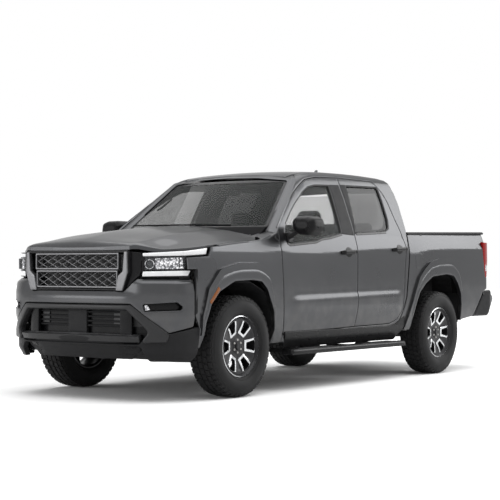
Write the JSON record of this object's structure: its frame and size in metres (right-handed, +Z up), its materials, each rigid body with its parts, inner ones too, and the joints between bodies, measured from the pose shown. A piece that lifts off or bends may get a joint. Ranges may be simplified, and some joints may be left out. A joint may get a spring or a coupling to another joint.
{
  "type": "pickup truck",
  "caption": "Crew-cab pickup truck with an open load bed, opening doors, hood and tailgate, steered front wheels and turning wheels.",
  "frame": {"origin": "on the ground, at the middle of the length and width", "axes": "+Y toward the tail, +X toward the truck's left side, +Z up"},
  "size_m": [2.239, 5.335, 1.9339],
  "materials": {
    "paint": "metallic gloss",
    "dark_plastic": "grained",
    "gloss_black": "gloss",
    "side_glass": "lightly tinted",
    "dark_glass": "darkly tinted",
    "lamp_lens": "clear lens over reflectors",
    "red_lens": "gloss",
    "bumper_metal": "satin",
    "chassis": "satin",
    "tyre": "matte",
    "alloy": "machined and painted",
    "cast_block": "cast",
    "radiator": "satin",
    "exhaust_metal": "dull",
    "trim": "grained",
    "seat_fabric": "woven"
  },
  "bodies": {
    "truck": {"cab_shell": "paint", "roof_panel": "paint", "cab_glass": "side_glass", "front_fenders": "paint", "front_bumper": "paint", "lower_fascia": "dark_plastic", "grille": "dark_plastic", "headlamps": "lamp_lens", "core_support": "dark_plastic", "bed_tub": "paint", "bed_sides": "paint", "tail_lamps": "red_lens", "rear_bumper": "bumper_metal", "ladder_frame": "chassis", "front_suspension": "chassis", "rear_axle": "chassis", "engine": "cast_block", "radiator": "radiator", "wheel_liners": "dark_plastic", "running_boards": "dark_plastic", "exhaust": "exhaust_metal", "fuel_tank": "dark_plastic", "spare_wheel": "tyre", "dashboard": "trim", "front_seats": "seat_fabric", "rear_seat": "seat_fabric"},
    "hood": {"hood": "paint"},
    "tailgate": {"tailgate": "paint"},
    "front_left_door": {"front_left_door": "paint", "front_left_window": "side_glass", "left_mirror": "gloss_black"},
    "rear_left_door": {"rear_left_door": "paint", "rear_left_window": "dark_glass"},
    "front_right_door": {"front_right_door": "paint", "front_right_window": "side_glass", "right_mirror": "gloss_black"},
    "rear_right_door": {"rear_right_door": "paint", "rear_right_window": "dark_glass"},
    "left_knuckle": {"left_knuckle": "chassis"},
    "right_knuckle": {"right_knuckle": "chassis"},
    "front_left_wheel": {"front_left_tyre": "tyre", "front_left_rim": "alloy"},
    "front_right_wheel": {"front_right_tyre": "tyre", "front_right_rim": "alloy"},
    "rear_left_wheel": {"rear_left_tyre": "tyre", "rear_left_rim": "alloy"},
    "rear_right_wheel": {"rear_right_tyre": "tyre", "rear_right_rim": "alloy"},
    "steering_wheel": {"steering_wheel": "trim"},
    "steering_rack": {"steering_rack": "chassis"}
  },
  "joints": [
    {"name": "front_left_door_swing", "type": "hinge", "parent": "truck", "child": "front_left_door", "pos_m": [0.892, -1.142, 0.9], "axis": [0, 0, -1], "range_deg": [0, 65]},
    {"name": "front_right_door_swing", "type": "hinge", "parent": "truck", "child": "front_right_door", "pos_m": [-0.892, -1.142, 0.9], "axis": [0, 0, 1], "range_deg": [0, 65]},
    {"name": "rear_left_door_swing", "type": "hinge", "parent": "truck", "child": "rear_left_door", "pos_m": [0.892, 0.014, 0.9], "axis": [0, 0, -1], "range_deg": [0, 65]},
    {"name": "rear_right_door_swing", "type": "hinge", "parent": "truck", "child": "rear_right_door", "pos_m": [-0.892, 0.014, 0.9], "axis": [0, 0, 1], "range_deg": [0, 65]},
    {"name": "hood_lift", "type": "hinge", "parent": "truck", "child": "hood", "pos_m": [0, -1.32, 1.25], "axis": [-1, 0, 0], "range_deg": [0, 45]},
    {"name": "tailgate_drop", "type": "hinge", "parent": "truck", "child": "tailgate", "pos_m": [0, 2.472, 0.775], "axis": [-1, 0, 0], "range_deg": [0, 90]},
    {"name": "steer_left", "type": "hinge", "parent": "truck", "child": "left_knuckle", "pos_m": [0.745, -1.725, 0.393], "axis": [0, 0, 1], "range_deg": [-31, 31]},
    {"name": "steer_right", "type": "hinge", "parent": "truck", "child": "right_knuckle", "pos_m": [-0.745, -1.725, 0.393], "axis": [0, 0, 1], "range_deg": [-31, 31]},
    {"name": "rack_slide", "type": "slide", "parent": "truck", "child": "steering_rack", "axis": [1, 0, 0], "range_m": [-0.075, 0.075]},
    {"name": "steering_wheel_turn", "type": "hinge", "parent": "truck", "child": "steering_wheel", "pos_m": [0.37, -0.747, 1.14], "axis": [0, 0.9063, 0.4226], "range_deg": [-480, 480]},
    {"name": "front_left_wheel_spin", "type": "hinge", "parent": "left_knuckle", "child": "front_left_wheel", "pos_m": [0.785, -1.725, 0.393], "axis": [1, 0, 0], "continuous": true},
    {"name": "front_right_wheel_spin", "type": "hinge", "parent": "right_knuckle", "child": "front_right_wheel", "pos_m": [-0.785, -1.725, 0.393], "axis": [1, 0, 0], "continuous": true},
    {"name": "rear_left_wheel_spin", "type": "hinge", "parent": "truck", "child": "rear_left_wheel", "pos_m": [0.785, 1.475, 0.393], "axis": [1, 0, 0], "continuous": true},
    {"name": "rear_right_wheel_spin", "type": "hinge", "parent": "truck", "child": "rear_right_wheel", "pos_m": [-0.785, 1.475, 0.393], "axis": [1, 0, 0], "continuous": true}
  ],
  "couplings": [
    {"joint": "steer_right", "follows": "steer_left", "ratio": 1},
    {"joint": "rack_slide", "follows": "steer_left", "m_per_rad": -0.137},
    {"joint": "steering_wheel_turn", "follows": "steer_left", "ratio": 15}
  ]
}
